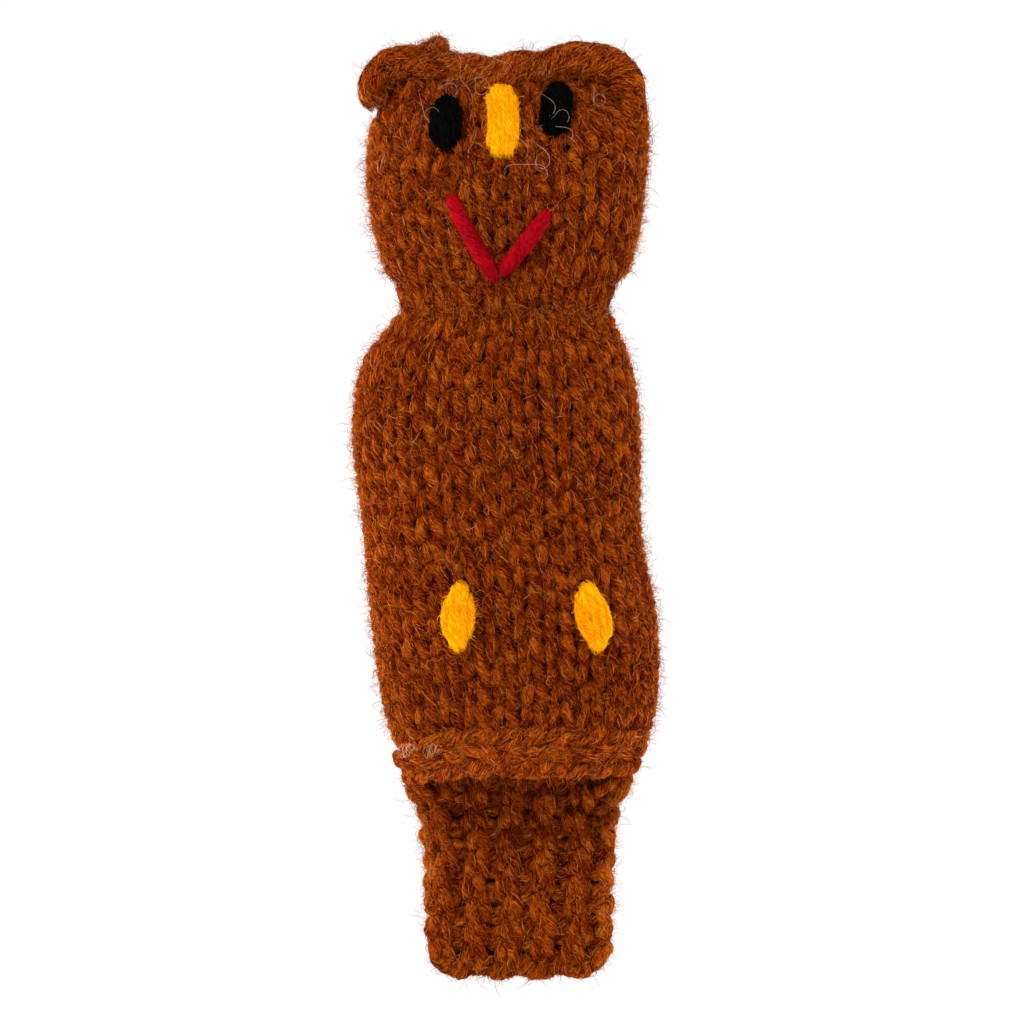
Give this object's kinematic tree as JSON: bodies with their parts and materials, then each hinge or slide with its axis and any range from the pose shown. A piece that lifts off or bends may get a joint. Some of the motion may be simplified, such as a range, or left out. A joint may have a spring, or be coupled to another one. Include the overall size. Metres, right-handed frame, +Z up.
{
  "type": "knitted finger puppet",
  "caption": "Hand-knitted rust-brown wool finger puppet of an owl with curled ears, embroidered face and feet, and a ribbed tail flap.",
  "frame": {"origin": "centre of the finger pocket's mouth, at the level of the front hem and in the plane of the side seams", "axes": "+Z up through the pocket to the crown, -Y out of the face, +X towards the puppet's ear on the right as seen from the front"},
  "size_m": [0.0359, 0.0162, 0.1119],
  "materials": {
    "rust_knit": "fuzzy hand-knitted stockinette wool, rust brown with lighter and darker fibres",
    "rust_yarn": "fuzzy plied wool yarn, rust brown",
    "black_yarn": "black yarn in satin stitch",
    "yellow_yarn": "orange-yellow yarn in satin stitch",
    "red_yarn": "thick crimson yarn in long stitches"
  },
  "bodies": {
    "torso": {"body_front_panel": "rust_knit", "body_back_panel": "rust_knit", "body_left_seam": "rust_yarn", "body_right_seam": "rust_yarn", "front_hem": "rust_yarn", "left_foot": "yellow_yarn", "right_foot": "yellow_yarn"},
    "collar": {"neck_gathering_yarn": "rust_yarn"},
    "head": {"head_front_panel": "rust_knit", "head_back_panel": "rust_knit", "head_left_seam": "rust_yarn", "head_right_seam": "rust_yarn", "crown_edge": "rust_yarn", "left_ear": "rust_yarn", "right_ear": "rust_yarn", "left_ear_yarn_end": "rust_yarn", "left_eye": "black_yarn", "right_eye": "black_yarn", "beak": "yellow_yarn", "mouth_left_stitch": "red_yarn", "mouth_right_stitch": "red_yarn"},
    "tail": {"tail_flap": "rust_knit", "tail_bound_edge": "rust_yarn"}
  },
  "joints": [
    {"name": "neck_turn", "type": "hinge", "parent": "torso", "child": "collar", "pos_m": [-0.0003, 0, 0.0546], "axis": [0, 0, 1], "range_deg": [-35, 35], "stiffness_Nm_per_rad": 0.002},
    {"name": "neck_nod", "type": "hinge", "parent": "collar", "child": "head", "pos_m": [-0.0003, 0, 0.0546], "axis": [1, 0, 0], "range_deg": [-15, 25], "stiffness_Nm_per_rad": 0.002},
    {"name": "tail_swing", "type": "hinge", "parent": "torso", "child": "tail", "pos_m": [0.0013, 0.00385, -0.0046], "axis": [1, 0, 0], "range_deg": [-75, 80], "stiffness_Nm_per_rad": 0.0005}
  ]
}
